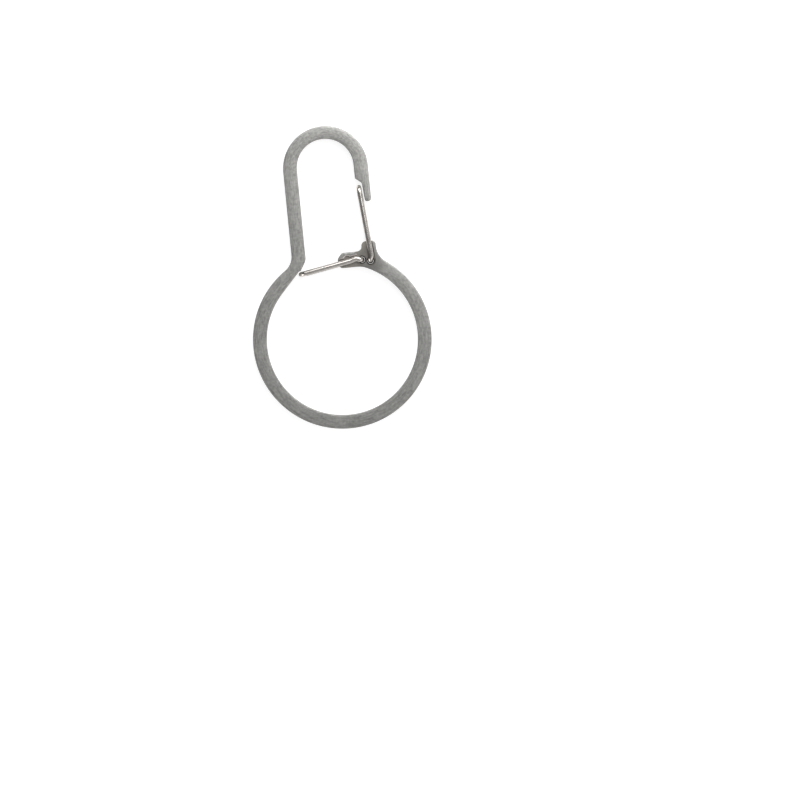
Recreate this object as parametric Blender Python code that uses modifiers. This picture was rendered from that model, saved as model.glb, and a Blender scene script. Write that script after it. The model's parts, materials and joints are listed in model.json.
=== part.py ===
"""Two-chamber key carabiner: one flat plate frame and two sprung wire gates.

The plate lies in the XY plane with its mid-plane at z = 0. The ring is at -Y, the
hook at +Y, and both centres are on the Y axis. The clip gate closes the hook on the
+X side. The divider gate closes the top of the ring. The origin is the middle of the
whole part, and every height below is counted from the ring's centre.
"""

import math
from collections import namedtuple

import bmesh
import bpy
from mathutils import Matrix, Vector

MM = 0.001

# Plate
PLATE_THICKNESS = 2.4 * MM
PLATE_EDGE_ROUND = 0.28 * MM

# Ring, the lower chamber
RING_OUTER_RADIUS = 20.1 * MM
RING_BAR_WIDTH = 3.1 * MM

# Hook, the upper chamber
HOOK_RISE = 18.5 * MM
HOOK_OUTER_RADIUS = 9.55 * MM
HOOK_TOP_WIDTH = 2.8 * MM
SPINE_WIDTH = 3.1 * MM
NOSE_BAR_WIDTH = 3.2 * MM

# Nose: how far it reaches below the hook's centre, and the notch for the gate's tip
NOSE_REACH = 8.15 * MM
NOTCH_ROOM = 0.35 * MM
NOTCH_SHOULDER_RISE = 1.15 * MM
NOTCH_LIP_ROUND = 0.4 * MM
NOTCH_ROOT_ROUND = 0.8 * MM
NOSE_INNER_ROUND = 0.5 * MM
NOSE_OUTER_ROUND = 1.5 * MM

# Waist, where the spine bends into the ring
WAIST_OUTER_ROUND = 4.0 * MM
WAIST_INNER_ROUND = 2.5 * MM
WAIST_BEND_RISE = 3.15 * MM
WAIST_SEAT_BITE = 0.03 * MM
WAIST_NIB_DEG = 92.4

# Wire gates
WIRE_RADIUS = 0.6 * MM
WIRE_BEND_INSIDE = 0.1 * MM
GATE_OPEN_DEG = 40.0
GATE_KINK = 0.4 * MM
GATE_KINK_LENGTH = 1.3 * MM
CLIP_LEAN_DEG = 5.0
CLIP_TIP_DROP = 4.9 * MM
DIVIDER_LEAN_DEG = 10.0
DIVIDER_TIP_INSET = 1.35 * MM
DIVIDER_HUMP = 0.15 * MM
DIVIDER_HUMP_CENTRE = 1.35 * MM
DIVIDER_HUMP_HALF_LENGTH = 1.25 * MM

# Clearances
SEAT_GAP = 0.27 * MM
FLOOR_GAP = 0.1 * MM
SWING_GAP = 0.2 * MM
HINGE_GAP = 0.08 * MM
PIN_END_GAP = 0.3 * MM

# Pivot arms
CLIP_PIVOT_WALL = 1.8 * MM
CLIP_RIM_WIDTH = 0.3 * MM
CLIP_ARM_WIDTH = 3.25 * MM
CLIP_ARM_REACH = 4.5 * MM
CLIP_ARM_INNER_ROUND = 1.8 * MM
PIVOT_WEB = 0.7 * MM
PIVOT_STAGGER = 0.45 * MM
DIVIDER_ARM_REACH = 5.4 * MM
DIVIDER_ARM_WIDTH = 3.45 * MM
DIVIDER_ARM_LIP = 0.7 * MM
DIVIDER_ARM_CHAMFER_LENGTH = 1.05 * MM
DIVIDER_ARM_CHAMFER_DROP = 1.25 * MM
DIVIDER_ARM_HEEL_ROUND = 1.5 * MM
JUNCTION_OUTER_ROUND = 4.5 * MM
JUNCTION_INNER_ROUND = 5.0 * MM
ARM_CROTCH_ROUND = 1.2 * MM
ARM_CORNER_ROUND = 0.8 * MM

# Pockets that sink the wires into the arms' faces, and the hinge holes' mouths
POCKET_DEPTH = 0.6 * MM
POCKET_REACH = 8.0 * MM
CLIP_POCKET_END_RADIUS = 1.2 * MM
DIVIDER_POCKET_END_RADIUS = 1.0 * MM
DIVIDER_SCALLOP_RADIUS = 0.77 * MM
DIVIDER_SCALLOP_ALONG = 3.15 * MM
DIVIDER_SCALLOP_BULGE = 0.4 * MM
HOLE_MOUTH = 0.25 * MM
HOLE_MOUTH_OVERRUN = 0.05 * MM
CUT_OVERRUN = 1.0 * MM

# How finely round forms are cut into facets
FACET_DEPTH = 0.012 * MM
FEWEST_FILLET_STEPS = 2
HOLE_SIDES = 28
WIRE_BEVEL_RESOLUTION = 4
WIRE_BEND_STEPS = 6
WIRE_KINK_STEPS = 9
WIRE_TIP_STEPS = 8
EDGE_ROUND_SEGMENTS = 2
SMOOTH_ANGLE_DEG = 30.0
EDGE_ANGLE_DEG = 65.0
FLAT_ANGLE_DEG = 0.2
MERGE_DISTANCE = 0.001 * MM
FILLET_REACH_SHARE = 0.49
ARC_END_SHARE = 0.25

# Sizes worked out from the ones above
HOOK_HEIGHT = RING_OUTER_RADIUS + HOOK_RISE
WHOLE_HEIGHT = HOOK_HEIGHT + HOOK_OUTER_RADIUS + RING_OUTER_RADIUS
RING_CENTRE = Vector((0, RING_OUTER_RADIUS - WHOLE_HEIGHT / 2))
RING_INNER_RADIUS = RING_OUTER_RADIUS - RING_BAR_WIDTH
HOOK_CENTRE = RING_CENTRE + Vector((0, HOOK_HEIGHT))
SPINE_INNER_X = SPINE_WIDTH - HOOK_OUTER_RADIUS
NOSE_INNER_X = HOOK_OUTER_RADIUS - NOSE_BAR_WIDTH
HOOK_INNER_RADIUS = (NOSE_INNER_X - SPINE_INNER_X) / 2
HOOK_INNER_CENTRE = Vector((
    SPINE_INNER_X + HOOK_INNER_RADIUS,
    HOOK_CENTRE.y + HOOK_OUTER_RADIUS - HOOK_TOP_WIDTH - HOOK_INNER_RADIUS,
))
WIRE_BEND_RADIUS = WIRE_RADIUS + WIRE_BEND_INSIDE
WEB_HALF = PLATE_THICKNESS / 2 - POCKET_DEPTH
LEG_HEIGHT = WEB_HALF + FLOOR_GAP + WIRE_RADIUS
TIP_SEAT_RADIUS = WIRE_RADIUS + SEAT_GAP
PIVOT_SPACING = 2 * WIRE_RADIUS + PIVOT_WEB

Gate = namedtuple("Gate", "name pivot heading length hump pocket_rounds")


def direction(degrees):
    """Unit vector in the plane at this angle from +X."""
    return Vector((math.cos(math.radians(degrees)), math.sin(math.radians(degrees))))


def clockwise_normal(vector):
    """The vector turned a quarter turn clockwise."""
    return Vector((vector.y, -vector.x))


def crossing(point_a, heading_a, point_b, heading_b):
    """Where two straight lines in the plane cross."""
    between = point_b - point_a
    along = between.cross(heading_b) / heading_a.cross(heading_b)
    return point_a + heading_a * along


def circle_entry(point, heading, centre, radius):
    """Where a straight line first meets a circle."""
    to_centre = centre - point
    middle = to_centre.dot(heading)
    half_chord = math.sqrt(radius ** 2 - to_centre.cross(heading) ** 2)
    return point + heading * (middle - half_chord)


def angle_of(point, centre):
    """Angle of a point round a centre, in degrees."""
    return math.degrees(math.atan2(point.y - centre.y, point.x - centre.x))


def pocket_wall(hump):
    """How far the pocket's wall stands from the hinge, on the side the gate closes to."""
    return GATE_KINK + hump + WIRE_RADIUS + SWING_GAP


def clip_gate():
    """The gate that closes the hook. Its pivot lies over the ring's bar and leaves a rim."""
    across = HOOK_OUTER_RADIUS - CLIP_RIM_WIDTH - SWING_GAP - WIRE_RADIUS - GATE_KINK
    up = math.sqrt((RING_INNER_RADIUS + CLIP_PIVOT_WALL) ** 2 - across ** 2)
    pivot = RING_CENTRE + Vector((across, up))
    heading_deg = 90 + CLIP_LEAN_DEG
    heading = direction(heading_deg)
    start = pivot + clockwise_normal(heading) * GATE_KINK
    length = (HOOK_CENTRE.y - CLIP_TIP_DROP - start.y) / heading.y
    pocket_rounds = [(Vector((0, 0)), CLIP_POCKET_END_RADIUS)]
    return Gate("clip_gate", pivot, heading_deg, length, 0, pocket_rounds)


def divider_gate():
    """The gate that closes the ring. Its tip seats in the waist's inner corner."""
    pivot = clip_gate().pivot + Vector((-PIVOT_SPACING, PIVOT_STAGGER))
    heading_deg = 180 + DIVIDER_LEAN_DEG
    heading = direction(heading_deg)
    start = pivot + clockwise_normal(heading) * GATE_KINK
    length = (SPINE_INNER_X - DIVIDER_TIP_INSET - start.x) / heading.x
    scallop_side = pocket_wall(DIVIDER_HUMP) + DIVIDER_SCALLOP_BULGE - DIVIDER_SCALLOP_RADIUS
    pocket_rounds = [
        (Vector((0, 0)), DIVIDER_POCKET_END_RADIUS),
        (Vector((DIVIDER_SCALLOP_ALONG, -scallop_side)), DIVIDER_SCALLOP_RADIUS),
    ]
    return Gate("divider_gate", pivot, heading_deg, length, DIVIDER_HUMP, pocket_rounds)


def gate_line(gate):
    """A point on the gate's straight legs abreast of its pivot, and their heading."""
    heading = direction(gate.heading)
    return gate.pivot + clockwise_normal(heading) * GATE_KINK, heading


def gate_tip(gate):
    """The outermost point of the wire's centre line."""
    start, heading = gate_line(gate)
    return start + heading * gate.length


def facet_step(radius):
    """Widest step in degrees whose chord stays within the facet depth of the round."""
    return 2 * math.degrees(math.acos(1 - FACET_DEPTH / radius))


def arc(centre, radius, start_deg, end_deg):
    """Points from one angle to another, on whole steps so that the quadrants are met."""
    step_deg = 90 / math.ceil(90 / facet_step(radius))
    sense = 1 if end_deg > start_deg else -1
    low, high = sorted((start_deg, end_deg))
    first = math.ceil(low / step_deg + ARC_END_SHARE)
    last = math.floor(high / step_deg - ARC_END_SHARE)
    angles = [index * step_deg for index in range(first, last + 1)][::sense]
    return [centre + direction(angle) * radius for angle in (start_deg, *angles, end_deg)]


def fillet(before, corner, after, radius):
    """Points of a round that replaces a corner, limited by the sides it lies on."""
    into = (corner - before).normalized()
    out = (after - corner).normalized()
    turn = math.atan2(into.cross(out), into.dot(out))
    side = min((corner - before).length, (after - corner).length) * FILLET_REACH_SHARE
    reach = min(radius * math.tan(abs(turn) / 2), side)
    round_radius = reach / math.tan(abs(turn) / 2)
    start = corner - into * reach
    left = Vector((-into.y, into.x)) * math.copysign(1, turn)
    centre = start + left * round_radius
    steps = max(FEWEST_FILLET_STEPS, math.ceil(abs(math.degrees(turn)) / facet_step(round_radius)))
    spokes = [Matrix.Rotation(turn * index / steps, 2) @ (start - centre) for index in range(steps + 1)]
    return [centre + spoke for spoke in spokes]


def rounded_run(start, corners, end):
    """Rounds at each (corner, radius) on the way from start to end, without the ends."""
    stops = [start] + [corner for corner, _ in corners] + [end]
    points = []
    for index, (corner, radius) in enumerate(corners):
        points += fillet(stops[index], corner, stops[index + 2], radius)
    return points


def outside_blend(edge_x, radius, side):
    """Centre of a round that joins a vertical edge to the outside of the ring."""
    across = edge_x + side * radius
    up = math.sqrt((RING_OUTER_RADIUS + radius) ** 2 - across ** 2)
    return RING_CENTRE + Vector((across, up))


def waist_outer():
    """From the spine's outer edge round the waist and the ring to the upright arm."""
    waist = outside_blend(-HOOK_OUTER_RADIUS, WAIST_OUTER_ROUND, -1)
    junction = outside_blend(HOOK_OUTER_RADIUS, JUNCTION_OUTER_ROUND, 1)
    waist_deg = angle_of(waist, RING_CENTRE)
    junction_deg = angle_of(junction, RING_CENTRE)
    return (
        arc(waist, WAIST_OUTER_ROUND, 0, waist_deg - 180)
        + arc(RING_CENTRE, RING_OUTER_RADIUS, waist_deg, junction_deg + 360)[1:]
        + arc(junction, JUNCTION_OUTER_ROUND, junction_deg + 180, 180)[1:]
    )


def arms():
    """The two pivot arms, and the blend into the inside of the ring."""
    clip = clip_gate().pivot
    divider = divider_gate().pivot
    clip_top = clip.y + CLIP_ARM_REACH
    clip_left = HOOK_OUTER_RADIUS - CLIP_ARM_WIDTH
    low = divider.y - DIVIDER_ARM_LIP - SWING_GAP - WIRE_RADIUS
    high = low + DIVIDER_ARM_WIDTH
    end = divider.x - DIVIDER_ARM_REACH
    drop = low - JUNCTION_INNER_ROUND - RING_CENTRE.y
    across = math.sqrt((RING_INNER_RADIUS - JUNCTION_INNER_ROUND) ** 2 - drop ** 2)
    blend = RING_CENTRE + Vector((across, drop))
    corners = [
        (Vector((HOOK_OUTER_RADIUS, clip_top)), ARM_CORNER_ROUND),
        (Vector((clip_left, clip_top)), CLIP_ARM_INNER_ROUND),
        (Vector((clip_left, high)), ARM_CROTCH_ROUND),
        (Vector((end + DIVIDER_ARM_CHAMFER_LENGTH, high)), ARM_CORNER_ROUND),
        (Vector((end, high - DIVIDER_ARM_CHAMFER_DROP)), ARM_CORNER_ROUND),
        (Vector((end, low)), DIVIDER_ARM_HEEL_ROUND),
    ]
    return (
        rounded_run(Vector((HOOK_OUTER_RADIUS, clip.y)), corners, Vector((blend.x, low)))
        + arc(blend, JUNCTION_INNER_ROUND, 90, angle_of(blend, RING_CENTRE))
    )


def ring_inner():
    """Clockwise round the inside of the ring, to the seat of the divider gate's tip.

    A flat land leaves the ring's circle and just cuts into the seat, an arc round the
    tip. The seat ends in a nib, and a throat runs from there to the spine.
    """
    low = arms()[-1]
    tip = gate_tip(divider_gate())
    reach = RING_INNER_RADIUS - (TIP_SEAT_RADIUS - WAIST_SEAT_BITE)
    turn_deg = math.degrees(math.acos(reach / (tip - RING_CENTRE).length))
    land_deg = angle_of(tip, RING_CENTRE) + turn_deg
    land = RING_CENTRE + direction(land_deg) * RING_INNER_RADIUS
    seat_start = circle_entry(land, clockwise_normal(direction(land_deg)), tip, TIP_SEAT_RADIUS)
    nib = tip + direction(WAIST_NIB_DEG) * TIP_SEAT_RADIUS
    bend = Vector((SPINE_INNER_X, tip.y + WAIST_BEND_RISE))
    return (
        arc(RING_CENTRE, RING_INNER_RADIUS, angle_of(low, RING_CENTRE), land_deg - 360)[1:]
        + arc(tip, TIP_SEAT_RADIUS, angle_of(seat_start, tip), WAIST_NIB_DEG)
        + fillet(nib, bend, Vector((SPINE_INNER_X, HOOK_CENTRE.y)), WAIST_INNER_ROUND)
    )


def nose():
    """Down the inner side of the nose, its notch and its tip."""
    start, heading = gate_line(clip_gate())
    seat = start + clockwise_normal(heading) * TIP_SEAT_RADIUS
    level = Vector((1, 0))
    root_height = Vector((0, gate_tip(clip_gate()).y + WIRE_RADIUS + NOTCH_ROOM))
    notch_top = root_height.y + NOTCH_SHOULDER_RISE
    tip_height = Vector((0, HOOK_CENTRE.y - NOSE_REACH))
    corners = [
        (Vector((NOSE_INNER_X, notch_top)), NOTCH_LIP_ROUND),
        (crossing(seat, heading, root_height, level), NOTCH_ROOT_ROUND),
        (crossing(seat, heading, tip_height, level), NOSE_INNER_ROUND),
        (Vector((HOOK_OUTER_RADIUS, tip_height.y)), NOSE_OUTER_ROUND),
    ]
    return rounded_run(
        Vector((NOSE_INNER_X, HOOK_INNER_CENTRE.y)), corners, Vector((HOOK_OUTER_RADIUS, HOOK_CENTRE.y))
    )


def frame_outline():
    """The plate's whole edge, anticlockwise, from the outside of the hook."""
    return (
        arc(HOOK_CENTRE, HOOK_OUTER_RADIUS, 0, 180)
        + waist_outer()
        + arms()
        + ring_inner()
        + arc(HOOK_INNER_CENTRE, HOOK_INNER_RADIUS, 180, 0)
        + nose()
    )


def pocket_outline(gate):
    """The sweep of a gate's legs over its arm, in the gate's own axes at rest."""
    outer = pocket_wall(gate.hump)
    inner = WIRE_RADIUS + SWING_GAP
    opened = Matrix.Rotation(math.radians(GATE_OPEN_DEG), 2)
    half_opened = Matrix.Rotation(math.radians(GATE_OPEN_DEG / 2), 2)
    return [
        Vector((0, -outer)),
        Vector((POCKET_REACH, -outer)),
        half_opened @ Vector((POCKET_REACH, 0)),
        opened @ Vector((POCKET_REACH, inner)),
        opened @ Vector((0, inner)),
    ]


def flat_mesh(name, outline, low, high):
    """A closed prism of an outline between two heights, made from a filled 2D curve."""
    curve = bpy.data.curves.new(name, "CURVE")
    curve.dimensions = "2D"
    curve.fill_mode = "BOTH"
    curve.extrude = (high - low) / 2
    spline = curve.splines.new("POLY")
    spline.points.add(len(outline) - 1)
    for point, place in zip(spline.points, outline):
        point.co = (place.x, place.y, 0, 1)
    spline.use_cyclic_u = True
    drawn = bpy.data.objects.new(name, curve)
    bpy.context.scene.collection.objects.link(drawn)
    mesh = bpy.data.meshes.new_from_object(drawn.evaluated_get(bpy.context.evaluated_depsgraph_get()))
    bpy.data.objects.remove(drawn)
    mesh.name = name
    shaped = bmesh.new()
    shaped.from_mesh(mesh)
    bmesh.ops.remove_doubles(shaped, verts=shaped.verts, dist=MERGE_DISTANCE)
    bmesh.ops.dissolve_limit(
        shaped, angle_limit=math.radians(FLAT_ANGLE_DEG), verts=shaped.verts, edges=shaped.edges
    )
    bmesh.ops.recalc_face_normals(shaped, faces=shaped.faces)
    bmesh.ops.translate(shaped, verts=shaped.verts, vec=Vector((0, 0, (low + high) / 2)))
    shaped.to_mesh(mesh)
    shaped.free()
    return mesh


def steel(name, colour, roughness):
    """A metal material of one colour and roughness."""
    material = bpy.data.materials.new(name)
    material.use_nodes = True
    shader = material.node_tree.nodes["Principled BSDF"]
    shader.inputs["Base Color"].default_value = (*colour, 1)
    shader.inputs["Metallic"].default_value = 1
    shader.inputs["Roughness"].default_value = roughness
    return material


def add_object(name, data, collection, place=Vector((0, 0)), turn_deg=0):
    """Put data into the scene as an object that stands on the mid-plane."""
    added = bpy.data.objects.new(name, data)
    added.location = (place.x, place.y, 0)
    added.rotation_euler = (0, 0, math.radians(turn_deg))
    collection.objects.link(added)
    return added


def add_cutter(name, data, collection, gate):
    """A hidden shape in a gate's own axes, to be cut out of the frame."""
    cutter = add_object(name, data, collection, gate.pivot, gate.heading)
    cutter.display_type = "WIRE"
    cutter.hide_render = True
    return cutter


def both_faces(cutter):
    """Repeat a cutter above the plate on the underside."""
    mirror = cutter.modifiers.new("both faces", "MIRROR")
    mirror.use_axis = (False, False, True)
    mirror.use_mirror_merge = False


def pocket_cutters(gate, collection):
    """The swept pocket, its round end and any scallop, on both faces of the arm."""
    top = PLATE_THICKNESS / 2 + CUT_OVERRUN
    outlines = [pocket_outline(gate)]
    for centre, radius in gate.pocket_rounds:
        outlines.append(arc(centre, radius, 0, 360)[:-1])
    meshes = [flat_mesh(gate.name + "_pocket", outline, WEB_HALF, top) for outline in outlines]
    cutters = [add_cutter(mesh.name, mesh, collection, gate) for mesh in meshes]
    for cutter in cutters:
        both_faces(cutter)
    return cutters


def hole_cutter(gate, collection):
    """The hinge hole with its widened mouths, turned about the hinge axis."""
    hole = WIRE_RADIUS + HINGE_GAP
    widest = hole + HOLE_MOUTH + HOLE_MOUTH_OVERRUN
    top = PLATE_THICKNESS / 2 + CUT_OVERRUN
    upper = [
        (0, top),
        (widest, top),
        (widest, WEB_HALF + HOLE_MOUTH_OVERRUN),
        (hole, WEB_HALF - HOLE_MOUTH),
    ]
    profile = upper + [(radius, -height) for radius, height in reversed(upper)]
    mesh = bpy.data.meshes.new(gate.name + "_hole")
    turned = bmesh.new()
    corners = [turned.verts.new((radius, 0, height)) for radius, height in profile]
    for first, second in zip(corners, corners[1:]):
        turned.edges.new((first, second))
    turned.to_mesh(mesh)
    turned.free()
    cutter = add_cutter(mesh.name, mesh, collection, gate)
    screw = cutter.modifiers.new("turned", "SCREW")
    screw.axis = "Z"
    screw.steps = HOLE_SIDES
    screw.render_steps = HOLE_SIDES
    screw.use_merge_vertices = True
    screw.merge_threshold = MERGE_DISTANCE
    return cutter


def make_frame(collection, cutters, material):
    """The plate with rounded edges, its pockets and its hinge holes."""
    mesh = flat_mesh("frame", frame_outline(), -PLATE_THICKNESS / 2, PLATE_THICKNESS / 2)
    mesh.shade_smooth()
    mesh.set_sharp_from_angle(angle=math.radians(SMOOTH_ANGLE_DEG))
    frame = add_object("frame", mesh, collection)
    frame.data.materials.append(material)
    tumbled = frame.modifiers.new("tumbled edges", "BEVEL")
    tumbled.width = PLATE_EDGE_ROUND
    tumbled.segments = EDGE_ROUND_SEGMENTS
    tumbled.limit_method = "ANGLE"
    tumbled.angle_limit = math.radians(EDGE_ANGLE_DEG)
    gates = (clip_gate(), divider_gate())
    pockets = [cutter for gate in gates for cutter in pocket_cutters(gate, cutters)]
    for cutter in pockets + [hole_cutter(gate, cutters) for gate in gates]:
        cut = frame.modifiers.new(cutter.name, "BOOLEAN")
        cut.operation = "DIFFERENCE"
        cut.solver = "EXACT"
        cut.object = cutter
    flats = frame.modifiers.new("flat faces", "WEIGHTED_NORMAL")
    flats.keep_sharp = True
    return frame


def smooth_step(share):
    """Rises from 0 to 1 with level ends."""
    held = min(max(share, 0), 1)
    return held * held * (3 - 2 * held)


def leg_side(gate, along):
    """How far a leg lies to the clockwise side of its hinge axis."""
    hump = smooth_step(1 - abs(along - DIVIDER_HUMP_CENTRE) / DIVIDER_HUMP_HALF_LENGTH)
    return GATE_KINK * smooth_step(along / GATE_KINK_LENGTH) + gate.hump * hump


def wire_path(gate):
    """The wire's centre line in the gate's own axes: hinge at zero, legs along +X."""
    low_bend = LEG_HEIGHT - WIRE_BEND_RADIUS
    half = [(0, PIN_END_GAP / 2)]
    for index in range(WIRE_BEND_STEPS + 1):
        angle = math.pi / 2 * index / WIRE_BEND_STEPS
        half.append((
            WIRE_BEND_RADIUS * (1 - math.cos(angle)),
            low_bend + WIRE_BEND_RADIUS * math.sin(angle),
        ))
    kink_end = DIVIDER_HUMP_CENTRE + DIVIDER_HUMP_HALF_LENGTH
    for index in range(1, WIRE_KINK_STEPS + 1):
        along = WIRE_BEND_RADIUS + (kink_end - WIRE_BEND_RADIUS) * index / WIRE_KINK_STEPS
        half.append((along, LEG_HEIGHT))
    for index in range(WIRE_TIP_STEPS):
        angle = math.pi / 2 * index / WIRE_TIP_STEPS
        half.append((
            gate.length - LEG_HEIGHT * (1 - math.sin(angle)),
            LEG_HEIGHT * math.cos(angle),
        ))
    front = [Vector((along, -leg_side(gate, along), height)) for along, height in half]
    back = [Vector((place.x, place.y, -place.z)) for place in reversed(front)]
    return front + [Vector((gate.length, -GATE_KINK, 0))] + back


def make_gate(gate, collection, material):
    """A hairpin of round wire whose origin is on its hinge axis."""
    path = wire_path(gate)
    curve = bpy.data.curves.new(gate.name, "CURVE")
    curve.dimensions = "3D"
    curve.bevel_depth = WIRE_RADIUS
    curve.bevel_resolution = WIRE_BEVEL_RESOLUTION
    curve.use_fill_caps = True
    spline = curve.splines.new("POLY")
    spline.points.add(len(path) - 1)
    for point, place in zip(spline.points, path):
        point.co = (*place, 1)
    curve.materials.append(material)
    wire = add_object(gate.name, curve, collection, gate.pivot, gate.heading)
    weld = wire.modifiers.new("welded ends", "WELD")
    weld.merge_threshold = MERGE_DISTANCE
    return wire


def new_collection(name):
    """An empty collection in the scene."""
    collection = bpy.data.collections.new(name)
    bpy.context.scene.collection.children.link(collection)
    return collection


def main():
    """Clear the scene and build the carabiner."""
    for old in list(bpy.data.objects):
        bpy.data.objects.remove(old)
    parts = new_collection("carabiner")
    cutters = new_collection("carabiner_cutters")
    satin = steel("satin_steel", (0.31, 0.32, 0.31), 0.42)
    polished = steel("polished_wire", (0.62, 0.61, 0.6), 0.14)
    make_frame(parts, cutters, satin)
    for gate in (clip_gate(), divider_gate()):
        make_gate(gate, parts, polished)


main()
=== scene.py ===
"""Looks of the two-chamber key carabiner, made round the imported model.

The plate and the two wire gates are remade here on the same outlines as finer meshes,
with tumbled rims, softened recess edges and smooth wire. Each stands for its own solid.
All lengths are in metres, in the model's frame: +Y towards the hook, +Z out of the front.
"""

import json
import math
from collections import namedtuple

import bmesh
import bpy
from mathutils import Matrix, Vector
from mathutils.kdtree import KDTree


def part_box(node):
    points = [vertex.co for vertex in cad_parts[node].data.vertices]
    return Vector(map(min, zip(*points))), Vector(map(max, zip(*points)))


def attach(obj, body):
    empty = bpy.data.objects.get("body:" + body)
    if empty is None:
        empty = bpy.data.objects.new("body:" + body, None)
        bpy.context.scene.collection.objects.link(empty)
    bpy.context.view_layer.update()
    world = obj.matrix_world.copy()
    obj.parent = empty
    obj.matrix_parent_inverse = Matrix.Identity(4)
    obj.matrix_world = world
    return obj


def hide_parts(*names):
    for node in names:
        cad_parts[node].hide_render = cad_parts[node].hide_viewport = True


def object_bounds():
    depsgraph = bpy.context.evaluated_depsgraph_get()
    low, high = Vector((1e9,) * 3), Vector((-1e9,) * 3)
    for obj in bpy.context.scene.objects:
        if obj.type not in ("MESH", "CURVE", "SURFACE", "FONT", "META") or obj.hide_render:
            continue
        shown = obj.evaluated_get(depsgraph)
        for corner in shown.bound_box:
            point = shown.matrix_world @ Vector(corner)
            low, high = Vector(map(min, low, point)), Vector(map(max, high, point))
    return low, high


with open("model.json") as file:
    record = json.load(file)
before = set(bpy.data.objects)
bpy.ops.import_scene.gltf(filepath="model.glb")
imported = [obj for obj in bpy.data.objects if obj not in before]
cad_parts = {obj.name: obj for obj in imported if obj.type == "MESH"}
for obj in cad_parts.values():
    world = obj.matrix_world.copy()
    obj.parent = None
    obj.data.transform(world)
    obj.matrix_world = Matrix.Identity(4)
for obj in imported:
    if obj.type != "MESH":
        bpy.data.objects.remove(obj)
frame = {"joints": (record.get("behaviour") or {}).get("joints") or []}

CAD_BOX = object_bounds()
MM = 0.001

# View: the photo is 800 pixels square and looks straight down
PHOTO_WIDTH_PX = 800
PX_PER_MM = 4.447
ORIGIN_PX = Vector((336.2, 277.3))
PHOTO_ROLL_DEG = 5.63
CAMERA_HEIGHT = 1200 * MM
CAMERA_CLIP_START = 10 * MM
SENSOR_WIDTH_MM = 36.0

# Plate, ring and hook
PLATE_THICKNESS = 2.4 * MM
PLATE_EDGE_ROUND = 0.28 * MM
RING_OUTER_RADIUS = 20.1 * MM
RING_BAR_WIDTH = 3.1 * MM
HOOK_RISE = 18.5 * MM
HOOK_OUTER_RADIUS = 9.55 * MM
HOOK_TOP_WIDTH = 2.8 * MM
SPINE_WIDTH = 3.1 * MM
NOSE_BAR_WIDTH = 3.2 * MM

# Nose
NOSE_REACH = 8.15 * MM
NOTCH_ROOM = 0.35 * MM
NOTCH_SHOULDER_RISE = 1.15 * MM
NOTCH_LIP_ROUND = 0.4 * MM
NOTCH_ROOT_ROUND = 0.8 * MM
NOSE_INNER_ROUND = 0.5 * MM
NOSE_OUTER_ROUND = 1.5 * MM

# Waist
WAIST_OUTER_ROUND = 4.0 * MM
WAIST_INNER_ROUND = 2.5 * MM
WAIST_BEND_RISE = 3.15 * MM
WAIST_SEAT_BITE = 0.03 * MM
WAIST_NIB_DEG = 92.4

# Wire gates
WIRE_RADIUS = 0.6 * MM
WIRE_BEND_RADIUS = 0.7 * MM
GATE_OPEN_DEG = 40.0
GATE_KINK = 0.4 * MM
GATE_KINK_LENGTH = 1.3 * MM
CLIP_LEAN_DEG = 5.0
CLIP_TIP_DROP = 4.9 * MM
DIVIDER_LEAN_DEG = 10.0
DIVIDER_TIP_INSET = 1.35 * MM
DIVIDER_HUMP = 0.15 * MM
DIVIDER_HUMP_CENTRE = 1.35 * MM
DIVIDER_HUMP_HALF_LENGTH = 1.25 * MM
SEAT_GAP = 0.27 * MM
FLOOR_GAP = 0.1 * MM
SWING_GAP = 0.2 * MM
HINGE_GAP = 0.08 * MM
PIN_END_GAP = 0.3 * MM

# Pivot arms
CLIP_ARM_WIDTH = 3.25 * MM
CLIP_ARM_REACH = 4.5 * MM
CLIP_ARM_INNER_ROUND = 1.8 * MM
DIVIDER_ARM_REACH = 5.4 * MM
DIVIDER_ARM_WIDTH = 3.45 * MM
DIVIDER_ARM_LIP = 0.7 * MM
DIVIDER_ARM_CHAMFER_LENGTH = 1.05 * MM
DIVIDER_ARM_CHAMFER_DROP = 1.25 * MM
DIVIDER_ARM_HEEL_ROUND = 1.5 * MM
JUNCTION_OUTER_ROUND = 4.5 * MM
JUNCTION_INNER_ROUND = 5.0 * MM
ARM_CROTCH_ROUND = 1.2 * MM
ARM_CORNER_ROUND = 0.8 * MM

# Recesses in the arms' faces
POCKET_DEPTH = 0.6 * MM
POCKET_REACH = 8.0 * MM
CLIP_POCKET_END_RADIUS = 1.2 * MM
DIVIDER_POCKET_END_RADIUS = 1.0 * MM
DIVIDER_SCALLOP_RADIUS = 0.77 * MM
DIVIDER_SCALLOP_ALONG = 3.15 * MM
DIVIDER_SCALLOP_BULGE = 0.4 * MM
HOLE_MOUTH = 0.25 * MM
HOLE_MOUTH_OVERRUN = 0.05 * MM
CUT_OVERRUN = 1.0 * MM
WEB_EDGE_ROUND = 0.05 * MM
RECESS_LIP_WIDTH = 0.25 * MM
RECESS_LIP_DEPTH = 0.08 * MM

# Fall of the plate's faces towards its edges
CROWN_DROP = 0.055 * MM
CROWN_REACH = 1.5 * MM
CROWN_PITCH = 0.45 * MM
OUTLINE_PITCH = 0.05 * MM

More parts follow.
